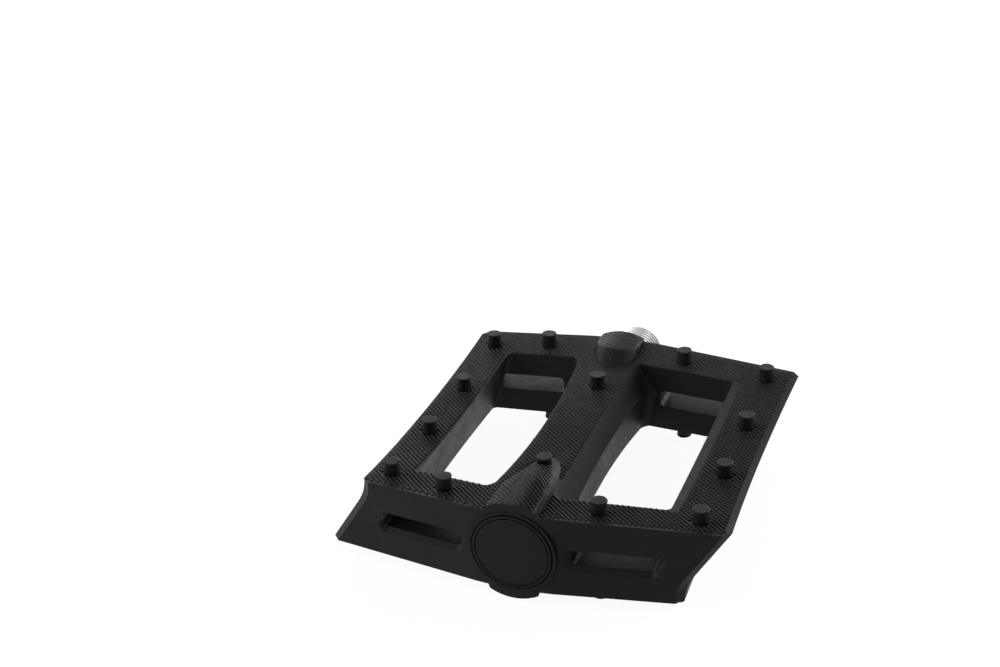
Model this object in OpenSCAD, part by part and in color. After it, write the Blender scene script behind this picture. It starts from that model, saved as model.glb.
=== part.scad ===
// Flat bicycle pedal: one-piece moulded platform with cast-in pins on a steel
// spindle that runs in two rings of loose balls.
// Millimetres. The origin is the spindle's shoulder seat on its axis, the crank
// is at +Y, the platform at -Y, +X is across the platform and +Z is up.

/* [View] */
// Which piece to draw, or all

/* [Platform size] */
// Length of the platform along the spindle, from end apex to end apex
body_length = 104; // [100:0.5:108]
// Gap between the spindle's shoulder seat and the platform's crank end
seat_gap = 4.5; // [4:0.1:7]
// Half thickness of the platform at its two ends
end_half_height = 11.66; // [11.2:0.02:12.4]
// How far each face dips from its ends to its middle
face_dip = 3.22; // [2.8:0.02:3.6]
// Fall of each V shaped end per unit of width
v_slope = 0.138; // [0.1:0.002:0.16]

/* [Platform side] */
// Distance from the axis to the upright lower half of a side
side_foot_x = 44; // [42:0.1:46]
// Distance from the axis to the leaning upper half at the height side_lean_z
side_lean_x = 49.1; // [47.5:0.1:51]
// Height at which side_lean_x is taken
side_lean_z = 0.9; // [0:0.1:2]
// Lean of the upper half of a side from upright, in degrees
side_lean = 33.7; // [30:0.1:36]
// Radius where the two halves of a side meet
side_fillet = 15; // [10:0.5:18]
// Width taken off each end of a side by the corner bevel
corner_inset = 2; // [1:0.1:2.6]
// Radius that rounds the apex of each V shaped end, seen from above
apex_radius = 100; // [70:5:120]

/* [Windows] */
// Far wall of a window from the axis, on the face where it is the wide one
window_wide_x = 38.5; // [37:0.1:39]
// Far wall of the same window on the other face
window_narrow_x = 31.5; // [31:0.1:34]
// Half length of a window, its end walls drawn on to the axis
window_half_length = 39.3; // [37:0.1:40]
// Loss of half length per unit of distance from the axis
window_slope = 0.11; // [0.06:0.005:0.14]
// Radius of a window's two outer corners
window_corner = 1.8; // [1:0.1:3]
// Radius of a window's two corners beside the middle rib
rib_corner = 4; // [3:0.1:5]

/* [Middle rib] */
// Half width of the rib at its waist, on the face where its flank slopes
rib_face_x = 6.1; // [5.6:0.1:6.8]
// Half width of the same flank on the other face
rib_foot_x = 8.3; // [8:0.1:8.7]
// Half width of that flank at its parting line
rib_edge_x = 9.05; // [8.8:0.05:9.6]
// Height of the parting line towards the face where the flank slopes
rib_edge_z = 2; // [1:0.1:3]
// Radius of the hourglass curve of the rib's flanks, seen from above
rib_curve = 380; // [300:10:600]

/* [End slots] */
// Inner end of a slot from the axis
slot_inner_x = 15.2; // [14:0.1:16]
// Outer end of a slot at the axis height
slot_outer_x = 38; // [36:0.1:39]
// Half height of a slot
slot_half_height = 2.6; // [2.2:0.1:3]
// Corner radius at the inner end of a slot
slot_inner_corner = 1.6; // [1.2:0.1:2.4]
// Corner radius at the outer end of a slot
slot_outer_corner = 1.1; // [0.8:0.1:1.4]
// Lean of a slot's outer end from upright, in degrees
slot_lean = 28; // [24:1:33]
// Width of the bevel below and beside a slot's mouth
slot_bevel = 1.4; // [0.8:0.1:1.8]

/* [Bearing humps] */
// Radius of the outboard hump's crown about the axis
hump_radius = 14.4; // [14:0.1:14.8]
// Radius of the crank side hump's crown about the axis
crank_hump_radius = 14; // [13.6:0.1:14.4]
// Half width of the outboard hump's flanks at the end's half thickness
hump_foot_x = 7.15; // [6.6:0.05:7.6]
// The same for the crank side hump
crank_hump_foot_x = 7.4; // [6.8:0.1:8]
// Steepness of a hump's flanks, in degrees from level
flank_angle = 70; // [60:1:80]
// Turn of each flank towards the hump's far end, in degrees
flank_taper = 3.2; // [0:0.1:4]
// Length of the outboard hump from the end apex
hump_length = 34.8; // [32:0.1:36]
// Length of the crank side hump from the end apex
crank_hump_length = 17.4; // [16:0.1:19]
// Half width of the outboard hump's round far end
hump_end_radius = 7.2; // [6:0.1:8]
// Half width of the crank side hump's round far end
crank_hump_end_radius = 6.6; // [6:0.1:7.5]
// Slope of the outboard hump's far end, in degrees from level
hump_end_slope = 17.5; // [14:0.5:28]
// Slope of the crank side hump's far end, in degrees from level
crank_hump_end_slope = 42; // [36:1:50]

/* [Pins] */
// Pin diameter at the root
pin_root_diameter = 4.4; // [4:0.1:4.8]
// Pin diameter at the tip
pin_tip_diameter = 4; // [3.6:0.1:4.4]
// Height of a pin above the face
pin_height = 3.95; // [3.4:0.05:4.4]
// Distance of the pins on the wide rail from the axis
wide_rail_pin_x = 46.8; // [46:0.1:47.5]
// Distance of the pins on the narrow rail from the axis
narrow_rail_pin_x = 38; // [37.5:0.1:38.4]
// Two spacings of the rail pins from the platform's middle
rail_pin_v = [13.2, 39.2];
// Position of the end pins: across, then along from the middle
end_pin = [21.3, 42.9];
// Spacing of the pins on the middle rib from the platform's middle
rib_pin_v = 24.1; // [23:0.1:25]

/* [Cap] */
// Diameter of the outboard cap
cap_diameter = 22.3; // [22:0.1:22.6]
// Thickness of the cap's disc
cap_thickness = 1.8; // [1.6:0.1:2]
// Depth of the cap's face from the outboard apex
cap_recess = 0.6; // [0.4:0.05:0.9]
// Radius of the ring groove in the cap's face
cap_groove_radius = 10.2; // [9.6:0.1:10.4]
// Width of the ring groove
cap_groove_width = 0.3; // [0.2:0.05:0.6]
// Depth of the ring groove
cap_groove_depth = 0.25; // [0.15:0.05:0.5]
// Width of the collar round the cap's seat
cap_collar = 0.8; // [0.5:0.1:1.2]

/* [Spindle] */
// Major diameter of the crank thread (9/16 in, 20 threads per inch)
thread_diameter = 14.288;
// Length of the threaded end beyond the shoulder seat
thread_length = 13; // [12:0.1:14]
// Diameter of the shoulder collar
collar_diameter = 17.4; // [16.5:0.1:18]
// Width across the collar's wrench flats
wrench_width = 15;
// Length of the collar along the axis
collar_length = 4; // [3.6:0.1:4.2]
// Width across the flats of the hex socket in the threaded end
hex_width = 6;
// Depth of the hex socket
hex_depth = 7; // [5:0.5:9]
// Diameter of the neck that the seal runs on
neck_diameter = 14.4; // [14:0.1:14.6]
// Shank diameter next to the crank side bearing
shank_wide = 10; // [9.6:0.1:10.4]
// Shank diameter next to the outboard bearing
shank_narrow = 8.6; // [8:0.1:9]
// Diameter of the threaded outboard end
end_thread_diameter = 7;

/* [Bearings] */
// Ball diameter (1/8 in)
ball_diameter = 3.175;
// Number of balls on the crank side
inner_balls = 14;
// Number of balls on the outboard side
outer_balls = 12;
// Room between neighbouring balls in a ring
ball_space = 0.09; // [0.05:0.01:0.15]
// Distance of the crank side ball ring from the shoulder seat
inner_ring_depth = 11.5; // [11:0.1:12]
// Distance of the outboard ball ring from the platform's outboard apex
outer_ring_depth = 9.4; // [9.2:0.1:9.8]
// Wall of a cup outside its race
cup_wall = 1.1; // [0.9:0.1:1.3]
// Length of the crank side cup's wall from its ball ring to its mouth
inner_cup_reach = 2.4; // [2.2:0.1:2.8]

/* [Fits] */
// Clearance between a ball and the races on either side
race_gap = 0.06; // [0.04:0.01:0.1]
// Radial play between the cap and its seat
cap_gap = 0.08; // [0.04:0.01:0.15]
// Radial clearance between the seal's lip and the neck
seal_gap = 0.08; // [0.05:0.01:0.1]
// Radial play of the pieces that are put on the outboard thread
thread_gap = 0.05; // [0.02:0.01:0.1]
// Space between pieces that pass each other without touching
air_gap = 0.4; // [0.3:0.05:0.6]

/* [Hidden] */
$fn = 48;
face_fn = 160;          // facets of the faces' and rib's large curves
big = 200;              // longer than the platform in every direction
sink = 1;               // how far a raised feature starts inside the body
hump_sink = 0.5;        // how far a hump's root lies below the faces' middle
fit_slack = 0.1;        // play of the key and its slot
chamfer = 0.4;          // small edge chamfers of the turned pieces
cap_edge = 0.35;        // chamfer round the cap's face
skirt_length = 1.6;     // how far the cap's skirt reaches behind its disc
skirt_wall = 1.2;
lip_wall = 0.6;         // how far the seal's lip stands in from its web
lip_length = 0.9;
bevel_angle = 45;       // turn of the corner bevels from the sides
blend = 0.04;           // overlap that lets two rounded cutters run into each other
cap_stand = 0.2;        // how far the cap stands out of its collar
half_length = body_length / 2;
mid_y = -(seat_gap + half_length);
outboard_y = mid_y - half_length;
face_radius = (half_length * half_length + face_dip * face_dip) / (2 * face_dip);
mid_half_height = end_half_height - face_dip;
v_angle = atan(v_slope);
window_mid_x = (window_wide_x + window_narrow_x) / 2;
ball_radius = ball_diameter / 2;
race_radius = ball_radius + race_gap;
cap_seat_radius = cap_diameter / 2 + cap_gap;
nut_thickness = 2.8;
washer_thickness = 0.8;
nut_width = 11;
key_width = 2;
key_depth = 0.9;
key_root = 0.3;         // how far the key starts inside the washer's ring
nut_edge = 0.1;         // how far the locknut's cone lies inside its flats
nut_flare = 2;          // how far that cone has opened at the other face
thread_stand = 0.2;     // how far the spindle's end stands out of the locknut
cup_web = 1.2;          // thickness of a cup's web behind its race
shank_gap = 1.2;        // space between the shank and the tunnel
tunnel_radius = shank_wide / 2 + shank_gap;
cone_land = 0.8;        // length of the cone behind its ball ring
cone_slot_width = 1.6;
cone_slot_depth = 0.6;
thread_chamfer = 1;
end_chamfer = 0.6;      // chamfer of the outboard thread's tip
neck_space = 0.5;       // from the crank side cup's mouth to the end of the neck
race_land = 1;          // straight length beside the crank side race
race_runout = 2.4;      // from that ball ring to the shank
shoulder_depth = 1.2;   // from the outboard ball ring to the thread's shoulder
shank_land = 2;         // straight shank beside that shoulder
cup_shoulder = 0.6;     // how far the tunnel is narrower than a cup's web hole
// Depths from the outboard apex
cap_back = cap_recess + cap_thickness;
spindle_end_depth = cap_back + air_gap;
nut_depth = spindle_end_depth + thread_stand;
washer_depth = nut_depth + nut_thickness;
cone_depth = washer_depth + washer_thickness;
outer_cup_back = outer_ring_depth + race_radius + cup_web;
inner_ring_y = -inner_ring_depth;
inner_cup_back_y = inner_ring_y - race_radius - cup_web;
inner_cup_mouth_y = inner_ring_y + inner_cup_reach;
inner_pitch = (ball_diameter + ball_space) / (2 * sin(180 / inner_balls));
outer_pitch = (ball_diameter + ball_space) / (2 * sin(180 / outer_balls));
inner_cup_radius = inner_pitch + race_radius + cup_wall;
outer_cup_radius = outer_pitch + race_radius + cup_wall;
outer_cup_reach = 2.4;
seal_thickness = 2.5;
seal_outer_y = inner_cup_mouth_y + seal_thickness;

// Height of a face above the axis at v along from the platform's middle.
function face_z(v) = mid_half_height + face_radius - sqrt(face_radius * face_radius - v * v);

function unit(v) = v / norm(v);
function half_angle(a, b, c) = acos(unit(a - b) * unit(c - b)) / 2;
function tangent_in(a, b, c, r) = b + unit(a - b) * r / tan(half_angle(a, b, c));
function fillet_centre(a, b, c, r) =
    b + unit(unit(a - b) + unit(c - b)) * r / sin(half_angle(a, b, c));
function turn(a, b, c) = (b.x - a.x) * (c.y - b.y) - (b.y - a.y) * (c.x - b.x);
function before(list, i) = list[(i + len(list) - 1) % len(list)];
function after(list, i) = list[(i + 1) % len(list)];

// An outline with a true arc of its own radius at each corner.
// The points go round anticlockwise; a radius of 0 keeps the corner sharp.
module rounded_outline(points, radii) {
    n = len(points);
    chords = [for (i = [0:n - 1]) each (radii[i] == 0 ? [points[i]]
        : [tangent_in(before(points, i), points[i], after(points, i), radii[i]),
           tangent_in(after(points, i), points[i], before(points, i), radii[i])])];
    difference() {
        union() {
            polygon(chords);
            for (i = [0:n - 1])
                if (radii[i] > 0 && turn(before(points, i), points[i], after(points, i)) > 0)
                    translate(fillet_centre(before(points, i), points[i], after(points, i), radii[i]))
                        circle(r = radii[i]);
        }
        for (i = [0:n - 1])
            if (radii[i] > 0 && turn(before(points, i), points[i], after(points, i)) < 0)
                translate(fillet_centre(before(points, i), points[i], after(points, i), radii[i]))
                    circle(r = radii[i]);
    }
}

// A prism along Y from an outline drawn in X and Z.
module along_y(length) {
    rotate([90, 0, 0])
        linear_extrude(height = length, center = true)
            children();
}

// A disc or ring about the Y axis from a profile of [radius, y] points.
module about_y() {
    rotate([-90, 0, 0])
        rotate_extrude()
            children();
}

// ---- Platform ----

// X of the leaning half of a side at height z.
function lean_x(z) = side_lean_x + (z - side_lean_z) * tan(side_lean);

// The cross section of the platform: each side is upright near one face and
// leans out towards the other, and the two sides are half a turn apart.
// Along a corner bevel the same shape is drawn narrower.
module side_section(width_scale, shift) {
    top_z = end_half_height + 3;
    knee_z = side_lean_z - (side_lean_x - side_foot_x) / tan(side_lean);
    foot = side_foot_x * width_scale + shift;
    tip = lean_x(top_z) * width_scale + shift;
    rounded_outline(
        [[foot, -top_z], [foot, knee_z], [tip, top_z],
         [-foot, top_z], [-foot, -knee_z], [-tip, -top_z]],
        [0, side_fillet, 0, 0, side_fillet, 0]);
}

// The four bevels between the V shaped ends and the sides, two at a time.
module corner_prism(side) {
    width_scale = cos(bevel_angle) - v_slope * sin(bevel_angle);
    reach = half_length * sin(bevel_angle) - corner_inset * width_scale;
    rotate([0, 0, side * bevel_angle])
        along_y(big)
            side_section(width_scale, reach);
}

// The platform from above: two shallow V shaped ends with rounded apexes.
module v_outline() {
    tip = 1.5 * side_foot_x;
    fall = tip * v_slope;
    touch = apex_radius * sin(v_angle);
    difference() {
        polygon([[0, -half_length], [tip, fall - half_length], [tip, half_length - fall],
                 [0, half_length], [-tip, half_length - fall], [-tip, fall - half_length]]);
        for (end = [-1, 1])
            difference() {
                translate([0, end * half_length])
                    square([2 * touch, 4 * touch * v_slope], center = true);
                translate([0, end * (half_length + blend - apex_radius / cos(v_angle))])
                    circle(r = apex_radius, $fn = face_fn);
            }
    }
}

module face_cutter(side) {
    translate([0, 0, side * (face_radius + mid_half_height)])
        rotate([0, 90, 0])
            cylinder(h = big, r = face_radius, center = true, $fn = 4 * face_fn);
}

module platform_blank() {
    difference() {
        intersection() {
            along_y(body_length + 2)
                side_section(1, 0);
            linear_extrude(height = 4 * end_half_height, center = true)
                v_outline();
            corner_prism(1);
            corner_prism(-1);
        }
        face_cutter(1);
        face_cutter(-1);
    }
}

// One window as drawn at the platform's middle height, from the axis outwards.
module window_outline(outer_x) {
    inner = window_half_length;
    outer = window_half_length - window_slope * outer_x;
    rounded_outline(
        [[0, -inner], [outer_x, -outer], [outer_x, outer], [0, inner]],
        [0, window_corner, window_corner, 0]);
}

// The far wall leans, so the window's prism leans with it.
module window_prism() {
    lean = atan((window_wide_x - window_narrow_x) / (2 * end_half_height));
    rotate([0, lean, 0])
        linear_extrude(height = 4 * end_half_height, center = true)
            window_outline(window_mid_x * cos(lean));
}

// A turned plug whose side has the slopes of the rib's flank.
// Its radius is given at the parting line.
module flank_plug(radius) {
    top = 2 * end_half_height;
    slope = (rib_edge_x - rib_face_x) / (mid_half_height - rib_edge_z);
    draft = (rib_edge_x - rib_foot_x) / (mid_half_height + rib_edge_z);
    rotate_extrude($fn = 4 * face_fn)
        polygon([[0, -top], [radius + draft * (top + rib_edge_z), -top], [radius, rib_edge_z],
                 [radius + slope * (top - rib_edge_z), top], [0, top]]);
}

// What rounds a window's two corners beside the rib.
module rib_corners() {
    reach = rib_curve - rib_corner;
    wall_v = window_half_length - rib_corner;
    wall_x = rib_edge_x + rib_curve - sqrt(reach * reach - wall_v * wall_v);
    centre_v = wall_v - window_slope * wall_x + blend;
    centre_x = rib_edge_x + rib_curve - sqrt(reach * reach - centre_v * centre_v);
    for (end = [-1, 1])
        difference() {
            translate([centre_x / 2, end * (centre_v + half_length / 2), 0])
                cube([centre_x, half_length, 5 * end_half_height], center = true);
            translate([centre_x, end * centre_v, 0])
                flank_plug(rib_corner + blend);
        }
}

module window(side) {
    rotate([0, side > 0 ? 0 : 180, 0])
        difference() {
            intersection() {
                window_prism();
                translate([rib_edge_x + rib_curve, 0, 0])
                    flank_plug(rib_curve);
            }
            rib_corners();
        }
}

// Corners of a slot in X and Z; the left one is the right one turned half round.
function slot_points(side) = side * [
    [slot_inner_x, -slot_half_height],
    [slot_outer_x - slot_half_height * tan(slot_lean), -slot_half_height],
    [slot_outer_x + slot_half_height * tan(slot_lean), slot_half_height],
    [slot_inner_x, slot_half_height]];

// The bevel round a hole's mouth in the plane Z = 0, running towards depth * Z.
module mouth_bevel(points, radii, width, depth) {
    for (i = [0:len(points) - 1]) {
        next = (i + 1) % len(points);
        start = tangent_in(points[next], points[i], before(points, i), radii[i]);
        stop = tangent_in(points[i], points[next], after(points, next), radii[next]);
        along = stop - start;
        translate(fillet_centre(before(points, i), points[i], after(points, i), radii[i]))
            rotate_extrude()
                polygon([[0, -depth], [radii[i] + width + 1, -depth],
                         [radii[i], depth * width], [0, depth * width]]);
        translate(start)
            rotate([0, 0, atan2(along.y, along.x)])
                rotate([90, 0, 90])
                    linear_extrude(height = norm(along))
                        polygon([[sink, -depth], [-width - 1, -depth],
                                 [0, depth * width], [sink, depth * width]]);
    }
}

// A slot in both end walls. Its mouths are bevelled all round but at the top.
module slot(side) {
    inner_v = window_half_length - window_slope * window_mid_x;
    radii = [slot_inner_corner, slot_outer_corner, slot_outer_corner, slot_inner_corner];
    for (end = [-1, 1]) {
        translate([0, end * (inner_v + half_length) / 2, 0])
            along_y(half_length - inner_v)
                rounded_outline(slot_points(side), radii);
        translate([0, end * half_length, 0])
            rotate([90, 0, -end * side * v_angle])
                intersection() {
                    mouth_bevel(slot_points(side), radii, slot_bevel, end);
                    translate([0, slot_half_height - big / 2, 0])
                        cube([big, big, big], center = true);
                }
    }
}

// Everything on the inner side of one flank of a hump.
module flank(side, foot_x, top) {
    root = mid_half_height - hump_sink;
    top_x = foot_x - (top - end_half_height) / tan(flank_angle);
    root_x = foot_x + (end_half_height - root) / tan(flank_angle);
    rotate([0, 0, side * flank_taper])
        along_y(big)
            polygon([[-side * big, root], [side * root_x, root], [side * top_x, top],
                     [-side * big, top]]);
}

// The far end of a hump: a prism with one round end that lies at a slope.
module hump_end(length, end_radius, slope) {
    translate([0, length - end_radius / sin(slope), face_z(half_length - length)])
        rotate([90 - slope, 0, 0])
            linear_extrude(height = big, center = true) {
                circle(r = end_radius);
                translate([-end_radius, -body_length])
                    square([2 * end_radius, body_length]);
            }
}

// The hump over a bearing on both faces, its end apex at y = 0, the body at +Y.
module hump(radius, foot_x, length, end_radius, slope) {
    for (face = [0, 180])
        rotate([0, face, 0])
            intersection() {
                rotate([-90, 0, 0])
                    cylinder(h = half_length, r = radius, $fn = 96);
                flank(1, foot_x, radius + 1);
                flank(-1, foot_x, radius + 1);
                hump_end(length, end_radius, slope);
            }
}

module pins() {
    spots = [for (v = rail_pin_v, s = [-1, 1], x = [-narrow_rail_pin_x, wide_rail_pin_x]) [x, s * v],
             for (x = [-1, 1], s = [-1, 1]) [x * end_pin.x, s * end_pin.y],
             for (s = [-1, 1]) [0, s * rib_pin_v]];
    for (spot = spots)
        translate([spot.x, spot.y, face_z(spot.y) - sink])
            cylinder(h = pin_height + sink, d1 = pin_root_diameter, d2 = pin_tip_diameter);
}

// The bores and counterbores along the axis, as depths from the two apexes.
module bearing_bores() {
    outer_web = outer_cup_back;
    inner_web = -seat_gap - inner_cup_back_y;
    rotate([-90, 0, 0]) {
        cylinder(h = body_length, r = tunnel_radius);
        translate([0, 0, -1])
            cylinder(h = outer_web + 1, r = outer_cup_radius);
        translate([0, 0, -1])
            cylinder(h = cap_back + 1, r = cap_seat_radius);
        translate([0, 0, body_length - inner_web])
            cylinder(h = inner_web + 1, r = inner_cup_radius);
    }
}

// Both humps, ending on the V shaped ends.
module humps() {
    intersection() {
        linear_extrude(height = 4 * end_half_height, center = true)
            v_outline();
        union() {
            translate([0, -half_length, 0])
                hump(hump_radius, hump_foot_x, hump_length, hump_end_radius, hump_end_slope);
            translate([0, half_length, 0])
                rotate([0, 0, 180])
                    hump(crank_hump_radius, crank_hump_foot_x, crank_hump_length,
                         crank_hump_end_radius, crank_hump_end_slope);
        }
    }
}

module platform_body() {
    color([0.2, 0.16, 0.26])
        translate([0, mid_y, 0])
            difference() {
                union() {
                    difference() {
                        platform_blank();
                        for (side = [-1, 1]) {
                            window(side);
                            slot(side);
                        }
                    }
                    humps();
                    translate([0, cap_recess + cap_stand - half_length, 0])
                        rotate([-90, 0, 0])
                            cylinder(h = cap_back, r = cap_seat_radius + cap_collar, $fn = 96);
                    for (face = [0, 180])
                        rotate([0, face, 0])
                            pins();
                }
                translate([0, -half_length, 0])
                    bearing_bores();
            }
}

// ---- Outboard cap ----

module end_cap() {
    groove_in = cap_groove_radius - cap_groove_width;
    skirt = outer_cup_radius - cap_gap;
    color([0.2, 0.16, 0.26])
        translate([0, outboard_y, 0])
            about_y()
                difference() {
                    polygon([[0, cap_recess], [cap_diameter / 2 - cap_edge, cap_recess],
                             [cap_diameter / 2, cap_recess + cap_edge],
                             [cap_diameter / 2, cap_back], [skirt, cap_back],
                             [skirt, cap_back + skirt_length],
                             [skirt - skirt_wall, cap_back + skirt_length],
                             [skirt - skirt_wall, cap_back], [0, cap_back]]);
                    translate([groove_in, cap_recess - 1])
                        square([cap_groove_width, cap_groove_depth + 1]);
                }
}

// ---- Bearing races ----

// A cup whose race faces -Y, drawn with its ball ring at y = 0.
module cup(outer, pitch, mouth) {
    difference() {
        polygon([[pitch + race_radius, -mouth], [outer, -mouth], [outer, race_radius + cup_web],
                 [pitch - cup_shoulder, race_radius + cup_web], [pitch - cup_shoulder, 0],
                 [pitch + race_radius, 0]]);
        translate([pitch, 0])
            circle(r = race_radius);
    }
}

module outboard_cup() {
    color([0.72, 0.72, 0.74])
        translate([0, outboard_y + outer_ring_depth, 0])
            about_y()
                cup(outer_cup_radius, outer_pitch, outer_cup_reach);
}

module inboard_cup() {
    color([0.72, 0.72, 0.74])
        translate([0, inner_ring_y, 0])
            about_y()
                mirror([0, 1])
                    cup(inner_cup_radius, inner_pitch, inner_cup_mouth_y - inner_ring_y);
}

module dust_seal() {
    lip = neck_diameter / 2 + seal_gap;
    color([0.08, 0.08, 0.09])
        about_y()
            polygon([[lip + lip_wall, inner_cup_mouth_y], [inner_cup_radius, inner_cup_mouth_y],
                     [inner_cup_radius, seal_outer_y], [lip, seal_outer_y],
                     [lip, seal_outer_y - lip_length],
                     [lip + lip_wall, seal_outer_y - lip_length]]);
}

// ---- Spindle ----

module spindle_profile() {
    thread_r = thread_diameter / 2;
    collar_r = collar_diameter / 2;
    neck_r = neck_diameter / 2;
    race_r = inner_pitch - race_radius;
    end_r = end_thread_diameter / 2;
    shoulder_y = outboard_y + outer_ring_depth + shoulder_depth;
    neck_end_y = inner_cup_mouth_y - neck_space;
    tip_y = outboard_y + spindle_end_depth;
    difference() {
        polygon([[0, thread_length], [thread_r - thread_chamfer, thread_length],
                 [thread_r, thread_length - thread_chamfer],
                 [thread_r, 0], [collar_r - chamfer, 0], [collar_r, -chamfer],
                 [collar_r, chamfer - collar_length], [collar_r - chamfer, -collar_length],
                 [neck_r, -collar_length], [neck_r, neck_end_y],
                 [inner_pitch, neck_end_y], [inner_pitch, inner_ring_y],
                 [race_r, inner_ring_y], [race_r, inner_ring_y - race_land],
                 [shank_wide / 2, inner_ring_y - race_runout],
                 [shank_narrow / 2, shoulder_y + shank_land],
                 [shank_narrow / 2, shoulder_y], [end_r, shoulder_y],
                 [end_r, tip_y + end_chamfer], [end_r - end_chamfer, tip_y], [0, tip_y]]);
        translate([inner_pitch, inner_ring_y])
            circle(r = race_radius);
    }
}

module spindle() {
    key_length = cone_depth + 2 - spindle_end_depth;
    color([0.62, 0.62, 0.64])
        difference() {
            about_y()
                spindle_profile();
            for (side = [-1, 1])
                translate([side * (wrench_width + collar_diameter) / 2, -collar_length / 2, 0])
                    cube([collar_diameter, collar_length + 0.02, 2 * collar_diameter],
                         center = true);
            translate([0, thread_length - hex_depth, 0])
                rotate([-90, 0, 0])
                    cylinder(h = hex_depth + 1, d = hex_width / cos(30), $fn = 6);
            translate([-(key_width + fit_slack) / 2, outboard_y + spindle_end_depth - 1,
                       end_thread_diameter / 2 - key_depth - fit_slack])
                cube([key_width + fit_slack, key_length + 1, 2 * key_depth]);
        }
}

// ---- Outboard bearing adjuster ----

module adjusting_cone() {
    bore = end_thread_diameter / 2 + thread_gap;
    ring_y = outer_ring_depth;
    front = cone_depth;
    color([0.72, 0.72, 0.74])
        translate([0, outboard_y, 0])
            difference() {
                about_y()
                    difference() {
                        polygon([[bore, front], [outer_pitch - chamfer, front],
                                 [outer_pitch, front + chamfer], [outer_pitch, ring_y],
                                 [outer_pitch - race_radius, ring_y],
                                 [outer_pitch - race_radius, ring_y + cone_land],
                                 [bore, ring_y + cone_land]]);
                        translate([outer_pitch, ring_y])
                            circle(r = race_radius);
                    }
                for (side = [0, 1])
                    rotate([0, side * 90, 0])
                        translate([-nut_width, front - 1, -cone_slot_width / 2])
                            cube([2 * nut_width, cone_slot_depth + 1, cone_slot_width]);
            }
}

module lock_washer() {
    bore = end_thread_diameter / 2 + thread_gap;
    color([0.66, 0.66, 0.68])
        translate([0, outboard_y + washer_depth, 0])
            rotate([-90, 0, 0])
                linear_extrude(height = washer_thickness) {
                    difference() {
                        circle(d = nut_width);
                        circle(r = bore);
                    }
                    translate([-key_width / 2, -bore - key_root])
                        square([key_width, key_root + key_depth - fit_slack]);
                }
}

module locknut() {
    bore = end_thread_diameter / 2 + thread_gap;
    color([0.66, 0.66, 0.68])
        translate([0, outboard_y + nut_depth, 0])
            rotate([-90, 0, 0])
                difference() {
                    intersection() {
                        cylinder(h = nut_thickness, d = nut_width / cos(30), $fn = 6);
                        cylinder(h = nut_thickness, r1 = nut_width / 2 - nut_edge,
                                 r2 = nut_width / 2 + nut_flare);
                    }
                    translate([0, 0, -1])
                        cylinder(h = nut_thickness + 2, r = bore);
                }
}

// ---- Balls ----

module ball(pitch, y, count, i) {
    color([0.85, 0.85, 0.87])
        translate([0, y, 0])
            rotate([0, 360 * (i - 0.5) / count, 0])
                translate([pitch, 0, 0])
                    sphere(d = ball_diameter, $fn = 24);
}

platform_body();
end_cap();
inboard_cup();
outboard_cup();
dust_seal();
spindle();
adjusting_cone();
lock_washer();
locknut();
for (i = [1:inner_balls])
    ball(inner_pitch, inner_ring_y, inner_balls, i);
for (i = [1:outer_balls])
    ball(outer_pitch, outboard_y + outer_ring_depth, outer_balls, i);
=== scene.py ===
"""Looks of the flat pedal: moulded nylon platform, steel spindle, white studio.

The CAD solids are dressed where they stand. Made here are the ridges of the two
faces, the upset rims of the pins, and the spindle with its threads and socket.
"""

import math

import bpy
import numpy as np
from mathutils import Matrix, Vector
from mathutils.bvhtree import BVHTree


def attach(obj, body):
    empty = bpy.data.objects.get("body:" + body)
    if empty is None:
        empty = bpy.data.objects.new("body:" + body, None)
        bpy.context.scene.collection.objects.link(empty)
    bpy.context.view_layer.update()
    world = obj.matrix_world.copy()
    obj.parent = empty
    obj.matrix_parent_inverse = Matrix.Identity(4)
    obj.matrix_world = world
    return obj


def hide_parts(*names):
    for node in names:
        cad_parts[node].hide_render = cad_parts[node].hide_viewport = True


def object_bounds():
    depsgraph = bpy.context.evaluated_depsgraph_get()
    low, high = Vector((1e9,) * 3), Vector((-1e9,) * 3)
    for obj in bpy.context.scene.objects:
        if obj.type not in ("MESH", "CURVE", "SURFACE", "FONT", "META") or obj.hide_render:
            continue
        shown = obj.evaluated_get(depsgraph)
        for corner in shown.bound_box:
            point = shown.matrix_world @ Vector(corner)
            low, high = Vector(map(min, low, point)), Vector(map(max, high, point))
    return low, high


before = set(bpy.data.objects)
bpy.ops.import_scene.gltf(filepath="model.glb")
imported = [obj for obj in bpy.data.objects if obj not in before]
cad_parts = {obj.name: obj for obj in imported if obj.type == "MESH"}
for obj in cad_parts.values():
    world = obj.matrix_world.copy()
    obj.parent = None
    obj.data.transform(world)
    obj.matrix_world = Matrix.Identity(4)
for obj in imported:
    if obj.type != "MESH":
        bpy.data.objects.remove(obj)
LOADED_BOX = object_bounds()

# ---- the photograph's camera -------------------------------------------------

W, H = 1000, 667
LONG = max(W, H)
SENSOR = 36.0
LENS = 57.293
SHIFT_X, SHIFT_Y = 0.0, 0.0
CAMERA_PLACE = Vector((0.126759, -0.424405, 0.233694))
CAMERA_AXES = Matrix(
    (
        (0.936100, -0.115871, 0.332100),
        (0.348418, 0.434796, -0.830396),
        (-0.048177, 0.893043, 0.447384),
    )
)


def ray(x, y):
    """Where the camera's ray through image point x, y runs: start and direction."""
    local = Vector(
        (
            x - W / 2 + SHIFT_X * LONG,
            H / 2 - y + SHIFT_Y * LONG,
            -LONG * LENS / SENSOR,
        )
    )
    return CAMERA_PLACE, (CAMERA_AXES @ local).normalized()


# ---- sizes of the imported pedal, in metres ------------------------------------

MM = 0.001
HALF = 52 * MM
MID_Y = -56.5 * MM
FACE_R = (52**2 + 3.22**2) / (2 * 3.22) * MM
MID_Z = (11.66 - 3.22) * MM


def face_z(y):
    """Height of the upper face at y in the row's frame."""
    v = y - MID_Y
    return MID_Z + FACE_R - math.sqrt(FACE_R * FACE_R - v * v)


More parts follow.
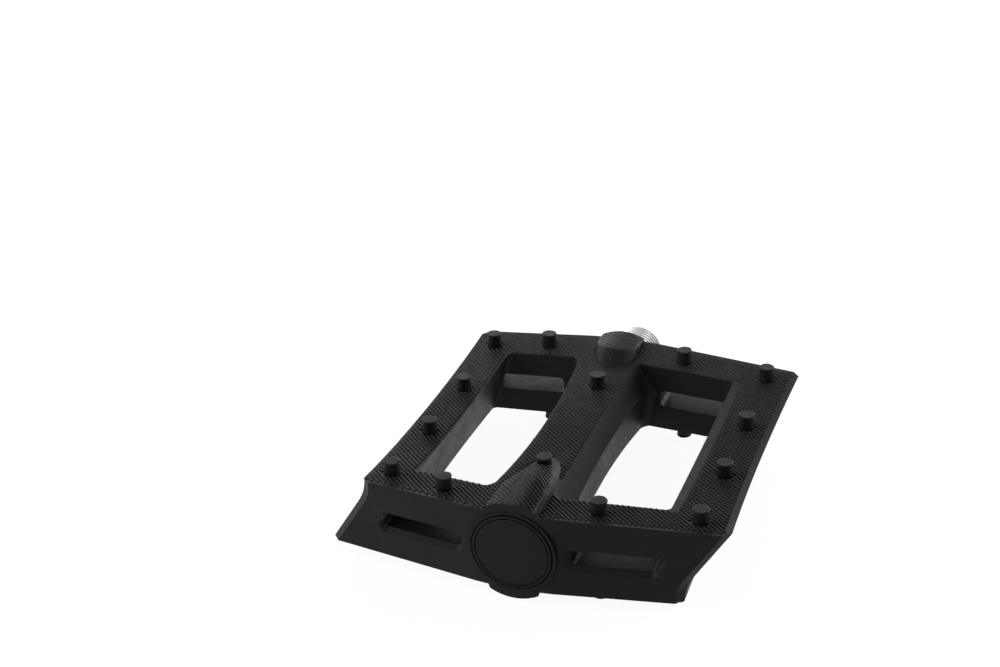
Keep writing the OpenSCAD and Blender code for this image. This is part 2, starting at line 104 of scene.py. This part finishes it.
# ---- materials ---------------------------------------------------------------


def node_material(name):
    made = bpy.data.materials.new(name)
    made.use_nodes = True
    tree = made.node_tree
    return made, tree, tree.nodes["Principled BSDF"]


def add(tree, kind, **values):
    """A node with its properties, or else the inputs of those names, set."""
    node = tree.nodes.new(kind)
    for key, value in values.items():
        if hasattr(node, key):
            setattr(node, key, value)
        else:
            node.inputs[key.replace("_", " ")].default_value = value
    return node


def own_place(tree):
    """Coordinates in the object's own frame."""
    return add(tree, "ShaderNodeTexCoord").outputs["Object"]


def maths(tree, operation, a, b):
    made = add(tree, "ShaderNodeMath", operation=operation)
    tree.links.new(a, made.inputs[0])
    tree.links.new(b, made.inputs[1])
    return made.outputs[0]


def noise(tree, scale, detail):
    made = add(tree, "ShaderNodeTexNoise", Scale=scale, Detail=detail, Roughness=0.55)
    tree.links.new(own_place(tree), made.inputs["Vector"])
    return made.outputs["Fac"]


def ramp(tree, source, low, high, a, b):
    """Source carried from low..high to a..b, and held at the ends."""
    made = add(
        tree, "ShaderNodeMapRange", From_Min=low, From_Max=high, To_Min=a, To_Max=b
    )
    tree.links.new(source, made.inputs["Value"])
    return made.outputs["Result"]


def mix_colour(tree, factor, a, b):
    """From a to b by factor; either may be a colour or a socket."""
    made = tree.nodes.new("ShaderNodeMix")
    made.data_type = "RGBA"
    for key, colour in (("A", a), ("B", b)):
        if isinstance(colour, tuple):
            made.inputs[key].default_value = (*colour, 1)
        else:
            tree.links.new(colour, made.inputs[key])
    tree.links.new(factor, made.inputs["Factor"])
    return made.outputs["Result"]


def bump(tree, shader, source, strength):
    """A relief of GRAIN_DEPTH on the shader's normal."""
    made = add(tree, "ShaderNodeBump", Strength=strength, Distance=GRAIN_DEPTH)
    tree.links.new(source, made.inputs["Height"])
    tree.links.new(made.outputs["Normal"], shader.inputs["Normal"])
    return made


def within_radius(tree, near, far):
    """1 inside the near distance from the Y axis, 0 beyond the far one."""
    flat = add(tree, "ShaderNodeVectorMath", operation="MULTIPLY")
    flat.inputs[1].default_value = (1, 0, 1)
    length = add(tree, "ShaderNodeVectorMath", operation="LENGTH")
    tree.links.new(own_place(tree), flat.inputs[0])
    tree.links.new(flat.outputs["Vector"], length.inputs[0])
    return ramp(tree, length.outputs["Value"], near, far, 1.0, 0.0)


GRAIN_DEPTH = 0.02 * MM
# Painted shade: within this reach of other surfaces, plastic is painted darker towards
# this colour and loses its gloss.
CREVICE_SHADE_REACH = 0.9 * MM
CREVICE_SHADE_COLOUR = (0.002, 0.002, 0.002)
SHEEN = 0.11  # specular level of open plastic
# Past a part's seat radius, the same painted shade comes in over this width.
SEAT_SHADE_BLEND = 0.15 * MM
CLOUD_SCALE, MOTTLE_SCALE = 60.0, 420.0  # of the noise behind colour and gloss
CLOUD_GLOSS, MOTTLE_GLOSS = 0.06, 0.05  # how far each moves the roughness
GRAIN_STRENGTH, MARK_STRENGTH = 0.35, 0.2
RAYS = 8  # of each crevice and rounded edge


def plastic(name, dark, light, rough, grain=2600.0, edge=0.0, seat=0.0):
    """Moulded nylon or rubber: fine grain, a cloudy sheen, and painted shade that
    darkens colour and gloss in crevices. Its edges look rounded by edge, and past
    seat from the Y axis it gets the same painted shade, a dark line at its seat."""
    made, tree, shader = node_material(name)
    cloud = noise(tree, CLOUD_SCALE, 3.0)
    mottle = noise(tree, MOTTLE_SCALE, 4.0)
    fine = noise(tree, grain, 2.0)
    # Painted shade: ambient occlusion makes the crevices darker in colour and gloss.
    crevice = add(
        tree, "ShaderNodeAmbientOcclusion", samples=RAYS, Distance=CREVICE_SHADE_REACH
    )
    unshaded_part = ramp(tree, crevice.outputs["AO"], 0.35, 0.85, 0.25, 1.0)
    # Painted shade past the seat radius: a dark line round the part where it meets its
    # seat.
    if seat:
        inside = within_radius(tree, seat, seat + SEAT_SHADE_BLEND)
        unshaded_part = maths(tree, "MULTIPLY", unshaded_part, inside)
    clouded = mix_colour(tree, ramp(tree, cloud, 0.35, 0.7, 0.0, 1.0), dark, light)
    colour = mix_colour(tree, unshaded_part, CREVICE_SHADE_COLOUR, clouded)
    tree.links.new(colour, shader.inputs["Base Color"])
    sheen = ramp(tree, unshaded_part, 0.0, 1.0, 0.0, SHEEN)
    tree.links.new(sheen, shader.inputs["Specular IOR Level"])
    least, most = rough - CLOUD_GLOSS, rough + CLOUD_GLOSS
    clouds = ramp(tree, cloud, 0.3, 0.7, least, most)
    mottles = ramp(tree, mottle, 0.35, 0.65, -MOTTLE_GLOSS, MOTTLE_GLOSS)
    tree.links.new(maths(tree, "ADD", clouds, mottles), shader.inputs["Roughness"])
    grained = bump(tree, shader, fine, GRAIN_STRENGTH)
    if edge:
        rounded = add(tree, "ShaderNodeBevel", samples=RAYS, Radius=edge)
        tree.links.new(rounded.outputs["Normal"], grained.inputs["Normal"])
    return made


def metal(name, colour, rough, scale, stretch):
    """Turned or ground steel: fine marks that run round the axis."""
    made, tree, shader = node_material(name)
    mapped = add(tree, "ShaderNodeMapping", Scale=stretch)
    marks = add(tree, "ShaderNodeTexNoise", Scale=scale, Detail=5.0)
    tree.links.new(own_place(tree), mapped.inputs["Vector"])
    tree.links.new(mapped.outputs["Vector"], marks.inputs["Vector"])
    shader.inputs["Base Color"].default_value = (*colour, 1)
    shader.inputs["Metallic"].default_value = 1.0
    worn = ramp(tree, marks.outputs["Fac"], 0.3, 0.7, rough - 0.08, rough + 0.1)
    tree.links.new(worn, shader.inputs["Roughness"])
    bump(tree, shader, marks.outputs["Fac"], MARK_STRENGTH)
    return made


NYLON = plastic(
    "platform_nylon_look",
    (0.011, 0.0106, 0.0109),
    (0.018, 0.0174, 0.0178),
    0.5,
    edge=0.14 * MM,
)
RIDGED = plastic(
    "ridged_nylon_look", (0.013, 0.0127, 0.013), (0.021, 0.0204, 0.0208), 0.5
)
CAP = plastic(
    "cap_nylon_look",
    (0.010, 0.0097, 0.010),
    (0.014, 0.0134, 0.014),
    0.46,
    grain=3200.0,
    # painted shade past 10.8 mm from the axis: a dark line where the cap meets its seat
    seat=10.8 * MM,
)
RUBBER = plastic(
    "seal_rubber_look",
    (0.010, 0.010, 0.011),
    (0.016, 0.016, 0.017),
    0.62,
    grain=1800.0,
)
SPINDLE = metal("spindle_steel_look", (0.42, 0.42, 0.43), 0.3, 900.0, (1, 6, 1))
RACE = metal("race_steel_look", (0.55, 0.55, 0.56), 0.26, 1200.0, (1, 5, 1))
BALL = metal("ball_steel_look", (0.75, 0.75, 0.77), 0.12, 700.0, (1, 1, 1))

LOOKS = {
    "platform_body": NYLON,
    "end_cap": CAP,
    "dust_seal": RUBBER,
    "spindle": SPINDLE,
    "lock_washer": SPINDLE,
    "locknut": SPINDLE,
    "adjusting_cone": RACE,
    "inboard_cup": RACE,
    "outboard_cup": RACE,
}
for name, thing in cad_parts.items():
    thing.data.materials.clear()
    thing.data.materials.append(LOOKS.get(name, BALL))


# ---- pieces made here --------------------------------------------------------


def mesh_piece(name, verts, faces, made, body, smooth=False):
    """A mesh of one look that rides with a body."""
    mesh = bpy.data.meshes.new(name)
    mesh.from_pydata([tuple(v) for v in verts], [], faces)
    mesh.validate()
    mesh.update()
    if smooth:
        mesh.polygons.foreach_set("use_smooth", [True] * len(mesh.polygons))
    thing = bpy.data.objects.new(name, mesh)
    bpy.context.scene.collection.objects.link(thing)
    mesh.materials.append(made)
    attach(thing, body)
    return thing


# The ridges of the faces: straight bars on the skin, found by looking down on
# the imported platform, so that they stop short of each edge and pin.
TOP_Z = LOADED_BOX[1].z - 0.02 * MM
GRID = 0.2 * MM
REACH_X, REACH_Y = 58 * MM, 53 * MM
SKY = 0.03  # where the look down starts
SLANT, CROSS = math.radians(136), math.radians(44)
PITCH = 1.11 * MM
BAR_BASE, BAR_TOP, BAR_HEIGHT = 0.36 * MM, 0.11 * MM, 0.4 * MM
BAR_ROOT, BAR_END = -0.05 * MM, 0.3 * MM
SHORTEST_BAR = 2.5 * BAR_END
FACE_STEP, CROWN_STEP = 2.0 * MM, 0.8 * MM  # along a bar
CROSS_HEIGHT = 0.2 * MM  # of the second set of ridges on the wide rail
CROWN_HEIGHT = 0.36 * MM  # of the ridges on the bearing humps
# The ridges get lower towards the crank: mm from the middle, share of height.
BAR_FADE = (-5, 30, 42), (1.0, 0.65, 0.45)
# Smooth borders: beside windows and humps, along the platform's ends, along
# the wide rail's outer edge, and on both rails along the windows.
BORDER, END_BORDER, SIDE_BORDER, RAIL_BORDER = 0.3 * MM, 1.0 * MM, 1.9 * MM, 1.5 * MM
# The windows: their side walls, half their length, half the length that counts
# as whole when the platform's outline is taken, and the rib between them.
WIDE_WALL_X, NARROW_WALL_X = 38.5 * MM, -31.5 * MM
WINDOW_REACH, WINDOW_FILL, RIB_REACH = 36 * MM, 40 * MM, 20 * MM
# The side border runs outside this line, and stops at the corners.
OUTER_RAIL_X, CORNER_REACH = WIDE_WALL_X + 6 * MM, HALF - 10 * MM
# How near the face's arc counts as face, and what counts as a hump's crown.
FACE_MATCH, CROWN_RISE, CROWN_TOP = 0.06 * MM, 0.12 * MM, 14.6 * MM
PIN_ROOT, PIN_CLEAR = 2.2 * MM, 0.3 * MM
# Where the pins stand: across, and along from the platform's middle, in mm.
PINS = [(x, s * v) for x in (-38, 46.8) for v in (13.2, 39.2) for s in (-1, 1)]
PINS += [(s * 21.3, t * 42.9) for s in (-1, 1) for t in (-1, 1)]
PINS += [(0, 24.1), (0, -24.1)]
# Half width of the ridged part of each hump at distances from its end, in mm,
# and where the ridges start.
OUTBOARD_CROWN = ((0, 12, 16.9, 20.8, 26.8, 33), (6.1, 6.1, 5.5, 4.7, 2.7, 0))
CRANK_CROWN = ((0, 9, 12.5, 16.2), (6.1, 5.9, 4.6, 0))
CROWN_START = 1.4


def platform_tree():
    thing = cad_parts["platform_body"]
    mesh = thing.data
    mesh.calc_loop_triangles()
    place = thing.matrix_world
    verts = [place @ v.co for v in mesh.vertices]
    return BVHTree.FromPolygons(verts, [t.vertices for t in mesh.loop_triangles])


TREE = platform_tree()


def height_map(side):
    """Heights over a grid above (side 1) or below (side -1) the platform, as
    seen with that face up; a half turn about Y takes one face to the other."""
    xs = np.arange(-REACH_X, REACH_X, GRID)
    ys = np.arange(MID_Y - REACH_Y, MID_Y + REACH_Y, GRID)
    high = np.full((len(xs), len(ys)), -1.0)
    down = Vector((0, 0, -side))
    for i, x in enumerate(xs):
        for j, y in enumerate(ys):
            hit = TREE.ray_cast(Vector((x * side, y, SKY * side)), down)[0]
            if hit is not None:
                high[i, j] = hit.z * side
    return xs, ys, high


def shrink(mask, distance):
    """The cells of mask that are at least distance from any cell outside it."""
    n = int(round(distance / GRID))
    kept = mask.copy()
    for i in range(-n, n + 1):
        for j in range(-n, n + 1):
            if i * i + j * j <= n * n:
                kept &= np.roll(np.roll(mask, i, 0), j, 1)
    return kept


def bar_stops(start, end, step):
    """Places along one bar: close to both ends, and evenly between them."""
    count = max(2, int((end - start) / step))
    inner = np.linspace(start + BAR_END, end - BAR_END, count)
    return np.concatenate(([start], inner, [end]))


def runs(on):
    """First and last index of each unbroken run in a row of flags."""
    edges = np.flatnonzero(np.diff(np.concatenate(([0], on.astype(int), [0]))))
    return zip(edges[::2], edges[1::2] - 1)


def bars(xs, ys, skin, mask, angle, step=FACE_STEP, height=BAR_HEIGHT):
    """Bars over the mask at one angle: lists of vertices and faces."""
    verts, faces = [], []
    along = np.array((math.cos(angle), math.sin(angle)))
    across = np.array((-along[1], along[0]))
    centre = np.array((0.0, MID_Y))
    span = math.hypot(REACH_X, REACH_Y)
    steps = np.arange(-span, span, GRID * 0.5)
    for k in range(int(-span / PITCH), int(span / PITCH) + 1):
        foot = centre + across * (k * PITCH)
        line = foot + np.outer(steps, along)
        i = np.round((line[:, 0] - xs[0]) / GRID).astype(int)
        j = np.round((line[:, 1] - ys[0]) / GRID).astype(int)
        good = (i >= 0) & (i < len(xs)) & (j >= 0) & (j < len(ys))
        on = np.zeros(len(steps), bool)
        on[good] = mask[i[good], j[good]]
        for first, last in runs(on):
            if steps[last] - steps[first] < SHORTEST_BAR:
                continue
            stops = bar_stops(steps[first], steps[last], step)
            base = len(verts)
            for n, t in enumerate(stops):
                depth = (foot[1] + along[1] * t - MID_Y) / MM
                top = height * np.interp(depth, *BAR_FADE)
                if n in (0, len(stops) - 1):
                    top = BAR_ROOT
                for half, lift in (
                    (-BAR_BASE, BAR_ROOT),
                    (-BAR_TOP, top),
                    (BAR_TOP, top),
                    (BAR_BASE, BAR_ROOT),
                ):
                    x, y = foot + along * t + across * half
                    verts.append((x, y, min(skin(x, y) + lift, TOP_Z)))
                if n:
                    low = base + 4 * (n - 1)
                    faces += [(c, c + 1, c + 5, c + 4) for c in range(low, low + 3)]
    return verts, faces


def joined(parts):
    """Vertex and face lists put together."""
    verts, faces = [], []
    for more_verts, more_faces in parts:
        base = len(verts)
        verts += more_verts
        faces += [tuple(base + n for n in f) for f in more_faces]
    return verts, faces


def between(values, low, high):
    return (values > low) & (values < high)


def pin_mask(x, v):
    """The cells under and round the pins."""
    pin = np.zeros(x.shape, bool)
    for pin_x, pin_v in PINS:
        pin |= np.hypot(x - pin_x * MM, v - pin_v * MM) < PIN_ROOT + PIN_CLEAR
    return pin


def face_mask(x, v, high, flat, pin):
    """The part of the face that is ridged, inside its smooth borders."""
    reach = np.abs(v)
    face = np.abs(high - flat) < FACE_MATCH
    windows = between(x, NARROW_WALL_X - MM, WIDE_WALL_X + MM)
    whole = (high > 0) | (reach < WINDOW_FILL) & windows
    beside = between(x, NARROW_WALL_X - RAIL_BORDER, WIDE_WALL_X + RAIL_BORDER)
    beside &= (reach < WINDOW_REACH) & (np.abs(x) > RIB_REACH)
    face = shrink(face | pin, BORDER) & shrink(whole, END_BORDER) & ~pin & ~beside
    inner = (x < OUTER_RAIL_X) | (reach > CORNER_REACH)
    return face & (shrink(whole, SIDE_BORDER) | inner)


def crown_mask(x, v, high, flat, pin):
    """The crowns of the bearing humps, out to where their sides turn down."""
    crown = np.zeros(x.shape, bool)
    raised = (high > flat + CROWN_RISE) & (high < CROWN_TOP)
    for end, (places, widths) in ((-1, OUTBOARD_CROWN), (1, CRANK_CROWN)):
        depth = (HALF - end * v) / MM
        width = np.interp(depth, places, widths, left=-1, right=-1) * MM
        crown |= raised & (np.abs(x) < width) & (depth > CROWN_START)
    return crown & ~pin


def ridge_skin(side):
    """The ridges of the upper face (side 1) or of the lower one (side -1)."""
    xs, ys, high = height_map(side)
    x, y = np.meshgrid(xs, ys, indexing="ij")
    v = y - MID_Y
    flat = MID_Z + FACE_R - np.sqrt(FACE_R**2 - v**2)
    pin = pin_mask(x, v)
    face = face_mask(x, v, high, flat, pin)
    wide = (x > WIDE_WALL_X) & (y > MID_Y - WINDOW_REACH)
    solid = np.maximum(high, flat)

    def on_face(x, y):
        return face_z(y)

    def on_crown(x, y):
        i, j = (x - xs[0]) / GRID, (y - ys[0]) / GRID
        m, n = int(i), int(j)
        f, g = i - m, j - n
        low = solid[m, n] * (1 - g) + solid[m, n + 1] * g
        up = solid[m + 1, n] * (1 - g) + solid[m + 1, n + 1] * g
        return low * (1 - f) + up * f

    crown = crown_mask(x, v, high, flat, pin)
    verts, faces = joined(
        (
            bars(xs, ys, on_face, face, SLANT),
            bars(xs, ys, on_face, face & wide, CROSS, FACE_STEP, CROSS_HEIGHT),
            bars(xs, ys, on_crown, crown, SLANT, CROWN_STEP, CROWN_HEIGHT),
        )
    )
    if side < 0:
        verts = [(-x, y, -z) for x, y, z in verts]
    name = "ridges_upper" if side > 0 else "ridges_lower"
    return mesh_piece(name, verts, faces, RIDGED, "platform")


for side in (1, -1):
    ridge_skin(side)


def band_faces(base, rings, around):
    """The faces between rings of around points that follow each other from base."""
    faces = []
    for low in range(base, base + (rings - 1) * around, around):
        up = low + around
        for n in range(around):
            m = (n + 1) % around
            faces.append((low + n, low + m, up + m, up + n))
    return faces


# The pins' tips are a little upset, so each has an uneven rim round its top:
# rings by how far they are past the tip's radius and below its top, in mm.
PIN_TIP, PIN_HEIGHT = 2.0 * MM, 3.95 * MM
RIM = ((-0.05, 0.03), (0.17, 0.05), (0.22, 0.25), (0.05, 0.6), (-0.1, 0.65))
RIM_AROUND = 24


def pin_rims():
    """The rims of all pins on both faces, each with a wave of its own."""
    verts, faces = [], []
    for side in (1, -1):
        for k, (x, v) in enumerate(PINS):
            y = MID_Y + v * MM
            top = face_z(y) + PIN_HEIGHT
            faces += band_faces(len(verts), len(RIM), RIM_AROUND)
            for reach, drop in RIM:
                z = side * (top - drop * MM)
                for n in range(RIM_AROUND):
                    t = 2 * math.pi * n / RIM_AROUND
                    wave = 0.05 * math.sin(3 * t + 2.1 * k)
                    wave += 0.03 * math.sin(7 * t + k * k)
                    r = PIN_TIP + (reach + (wave if reach > 0 else 0)) * MM
                    out, up = r * math.cos(t), r * math.sin(t)
                    verts.append((side * (x * MM + out), y + up, z))
    return mesh_piece("pin_rims", verts, faces, NYLON, "platform", smooth=True)


pin_rims()


# The spindle with its real thread, flats and socket, in place of the plain one.
SHARP_EDGE = math.radians(32)
SPINDLE_AROUND = 96


def lathe(name, stations, around, made, body):
    """Rings of points about the Y axis, closed at both ends. A station is y with
    a radius, or with a function that gives one for an angle."""
    verts = []
    for y, radius in stations:
        for n in range(around):
            t = 2 * math.pi * n / around
            r = radius(t) if callable(radius) else radius
            verts.append((r * math.cos(t), y, r * math.sin(t)))
    faces = band_faces(0, len(stations), around)
    faces.append(tuple(range(around)))
    faces.append(tuple(reversed(range(len(verts) - around, len(verts)))))
    thing = mesh_piece(name, verts, faces, made, body, smooth=True)
    thing.data.set_sharp_from_angle(angle=SHARP_EDGE)
    return thing


# The crank thread, between its two ends, and the outboard one with its keyway.
THREAD_R, MINOR_R, THREAD_PITCH = 7.144 * MM, 6.36 * MM, 1.27 * MM
THREAD_FROM_Y, THREAD_TO_Y = 12.4 * MM, 1.3 * MM
END_R, END_MINOR, END_PITCH = 3.5 * MM, 3.0 * MM, 1.0 * MM
KEYWAY_HALF, KEYWAY_FLOOR = 1.05 * MM, 2.5 * MM
CREST = 1.25  # a V thread drawn this much too tall, and cut off at its crest
THREAD_STEPS, END_STEPS = 12, 10  # rings in each turn of thread
# The hexagon socket: across its flats inside and at its mouth, and its places.
SOCKET, SOCKET_MOUTH = 6 * MM, 6.6 * MM
SOCKET_FLOOR_Y, SOCKET_EDGE_Y, CRANK_END_Y = 6 * MM, 12.7 * MM, 13 * MM
# The collar: its radius and half its width across the flats, and the same at
# its broken edges.
COLLAR, COLLAR_EDGE = (8.7 * MM, 7.5 * MM), (8.35 * MM, 7.25 * MM)
# The groove of the inboard balls: radius of the circle of their centres, its
# place, and the groove's own radius.
BALL_RING_R, BALL_RING_Y, RACE_R = 7.336 * MM, -11.5 * MM, 1.6475 * MM
SHANK_R, SHOULDER_Y, TIP_Y = 4.3 * MM, -97.9 * MM, -105.7 * MM


def thread_ring(y, outer, minor, pitch):
    """Radius by angle of a V thread where it is cut across at y."""

    def radius(t):
        phase = (y / pitch - t / (2 * math.pi)) % 1.0
        return minor + (outer - minor) * min(1.0, CREST * abs(2 * phase - 1))

    return radius


def flats(limit, across):
    """Radius by angle of a round with a flat on either side."""

    def radius(t):
        c = abs(math.cos(t))
        return min(limit, across / c) if c > 1e-6 else limit

    return radius


def hexagon(across):
    """Radius by angle of a hexagon, from its width across the flats."""

    def radius(t):
        return across / 2 / math.cos((t + math.pi / 6) % (math.pi / 3) - math.pi / 6)

    return radius


def keyed_ring(y):
    """The outboard thread with the keyway of the lock washer cut along it."""
    plain = thread_ring(y, END_R, END_MINOR, END_PITCH)

    def radius(t):
        r = plain(t)
        if math.sin(t) > 0 and abs(r * math.cos(t)) < KEYWAY_HALF:
            r = min(r, KEYWAY_FLOOR / math.sin(t))
        return r

    return radius


def spindle_stations():
    """From the socket's floor to the crank end, and along the outside to the tip."""
    socket = hexagon(SOCKET)
    made = [(SOCKET_FLOOR_Y, 0.01 * MM), (SOCKET_FLOOR_Y, socket)]
    made += [(SOCKET_EDGE_Y, socket), (CRANK_END_Y, hexagon(SOCKET_MOUTH))]
    made += [(CRANK_END_Y, 6.1 * MM)]
    y = THREAD_FROM_Y
    while y > THREAD_TO_Y:
        made.append((y, thread_ring(y, THREAD_R, MINOR_R, THREAD_PITCH)))
        y -= THREAD_PITCH / THREAD_STEPS
    # the neck, up to the shoulder that meets the crank
    made += [(1.2 * MM, 6.4 * MM), (0.15 * MM, 6.4 * MM), (0, 6.6 * MM)]
    collar, edge = flats(*COLLAR), flats(*COLLAR_EDGE)
    made += [(0, edge), (-0.35 * MM, collar), (-3.65 * MM, collar), (-4 * MM, edge)]
    # the seal's seat, and the groove for a quarter turn
    made += [(-4 * MM, 7.2 * MM), (-9.6 * MM, 7.2 * MM), (-9.7 * MM, BALL_RING_R)]
    for degrees in range(0, 91, 15):
        t = math.radians(degrees)
        r = BALL_RING_R - RACE_R * math.sin(t)
        made.append((BALL_RING_Y + RACE_R * math.cos(t), r))
    made += [(-12.5 * MM, BALL_RING_R - RACE_R), (-13.9 * MM, 5 * MM)]
    # the shank, tapered to its outboard end, and the relief before the thread
    made += [(SHOULDER_Y + 2 * MM, SHANK_R), (SHOULDER_Y, SHANK_R)]
    made += [(SHOULDER_Y, 3.1 * MM)]
    y = SHOULDER_Y - 0.4 * MM
    while y > TIP_Y + 0.6 * MM:
        made.append((y, keyed_ring(y)))
        y -= END_PITCH / END_STEPS
    made.append((TIP_Y, 2.6 * MM))
    return made


spindle_piece = lathe(
    "spindle_threaded", spindle_stations(), SPINDLE_AROUND, SPINDLE, "spindle"
)
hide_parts("spindle")

# ---- studio ------------------------------------------------------------------

scene = bpy.context.scene
FLOOR_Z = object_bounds()[0].z - 0.02 * MM
FLOOR_HALF = 3.0

# The paper as the camera sees it, its glow and its grey, and then its grey and
# its glow as it lights the pedal.
PAPER_GLOW, PAPER_SHADE = 0.94, 0.2
PAPER_BOUNCE, PAPER_LIGHT = 0.5, 0.33
# Before the pedal's end the paper lights the left half alone, at this level.
# Both changes are gradual, over these places across and along, in metres.
FRONT_LIGHT = 0.55
LEFT_FADE, FRONT_FADE = (-0.018, 0.004), (-0.10, -0.115)
# The lamps by azimuth, elevation and power, and what they share.
LAMPS = (
    ("above", -68, 75, 1.5),
    ("front_left", -150, 15, 9.6),
    ("left_wall", 170, 15, 6.75),
    ("back_left", 120, 15, 4.4),
    ("back", 70, 15, 9.6),
    ("right_wall", 25, 15, 9.9),
)
LAMP_SIZE, LAMP_DISTANCE = 0.9, 1.5


def paper_light(tree):
    """What the paper throws at the pedal: one level behind the pedal's end, and
    before it another that the left half gets alone."""
    apart = add(tree, "ShaderNodeSeparateXYZ")
    tree.links.new(own_place(tree), apart.inputs["Vector"])
    left = ramp(tree, apart.outputs["X"], *LEFT_FADE, FRONT_LIGHT, 0.0)
    front = ramp(tree, apart.outputs["Y"], *FRONT_FADE, 0.0, 1.0)
    made = add(tree, "ShaderNodeMix", A=PAPER_LIGHT)
    tree.links.new(left, made.inputs["B"])
    tree.links.new(front, made.inputs["Factor"])
    return made.outputs["Result"]


def seen(tree):
    """1 for what the camera sees, straight or in metal and glass; 0 for light."""
    path = add(tree, "ShaderNodeLightPath").outputs
    total = path["Is Camera Ray"]
    for kind in ("Is Glossy Ray", "Is Transmission Ray"):
        total = maths(tree, "MAXIMUM", total, path[kind])
    return total


def glowing_paper(tree, grey, glow):
    """Paper of one grey that glows; the glow may be a number or a socket."""
    light = add(tree, "ShaderNodeEmission", Color=(1, 1, 1, 1))
    if isinstance(glow, float):
        light.inputs["Strength"].default_value = glow
    else:
        tree.links.new(glow, light.inputs["Strength"])
    paper = add(tree, "ShaderNodeBsdfDiffuse", Color=(grey, grey, grey, 1))
    both = add(tree, "ShaderNodeAddShader")
    tree.links.new(light.outputs[0], both.inputs[0])
    tree.links.new(paper.outputs[0], both.inputs[1])
    return both.outputs[0]


def paper_material():
    """Paper that the camera sees as nearly white with a faint shadow, and that
    throws a softer light back on the pedal."""
    made = bpy.data.materials.new("floor_paper")
    made.use_nodes = True
    tree = made.node_tree
    tree.nodes.clear()
    pick = add(tree, "ShaderNodeMixShader")
    out = add(tree, "ShaderNodeOutputMaterial")
    lighting = glowing_paper(tree, PAPER_BOUNCE, paper_light(tree))
    shown = glowing_paper(tree, PAPER_SHADE, PAPER_GLOW)
    tree.links.new(seen(tree), pick.inputs[0])
    tree.links.new(lighting, pick.inputs[1])
    tree.links.new(shown, pick.inputs[2])
    tree.links.new(pick.outputs[0], out.inputs["Surface"])
    return made


def floor_piece():
    mesh = bpy.data.meshes.new("floor")
    corners = ((-1, -1), (1, -1), (1, 1), (-1, 1))
    verts = [(a * FLOOR_HALF, b * FLOOR_HALF, FLOOR_Z) for a, b in corners]
    mesh.from_pydata(verts, [], [(0, 1, 2, 3)])
    thing = bpy.data.objects.new("floor", mesh)
    scene.collection.objects.link(thing)
    mesh.materials.append(paper_material())


floor_piece()


def lamp(name, azimuth, elevation, power):
    """A square soft light, turned to the platform's middle."""
    turn, lift = math.radians(azimuth), math.radians(elevation)
    level = math.cos(lift)
    out = Vector((math.cos(turn) * level, math.sin(turn) * level, math.sin(lift)))
    data = bpy.data.lights.new(name, "AREA")
    data.energy = power
    data.size = LAMP_SIZE
    thing = bpy.data.objects.new(name, data)
    thing.location = Vector((0, MID_Y, 0)) + LAMP_DISTANCE * out
    thing.rotation_mode = "QUATERNION"
    thing.rotation_quaternion = out.to_track_quat("Z", "Y")
    scene.collection.objects.link(thing)


for spec in LAMPS:
    lamp(*spec)

# The room is white where it is seen, and throws no light of its own.
world = bpy.data.worlds.new("studio")
world.use_nodes = True
world_tree = world.node_tree
background = world_tree.nodes["Background"]
background.inputs["Color"].default_value = (1, 1, 1, 1)
world_tree.links.new(seen(world_tree), background.inputs["Strength"])
scene.world = world

lens = bpy.data.cameras.new("photo_camera")
lens.sensor_fit = "AUTO"
lens.sensor_width = SENSOR
lens.lens = LENS
lens.shift_x, lens.shift_y = SHIFT_X, SHIFT_Y
lens.clip_start, lens.clip_end = 0.01, 20
camera = bpy.data.objects.new("photo_camera", lens)
camera.matrix_world = Matrix.Translation(CAMERA_PLACE) @ CAMERA_AXES.to_4x4()
scene.collection.objects.link(camera)
scene.camera = camera
scene.view_settings.view_transform = "Standard"
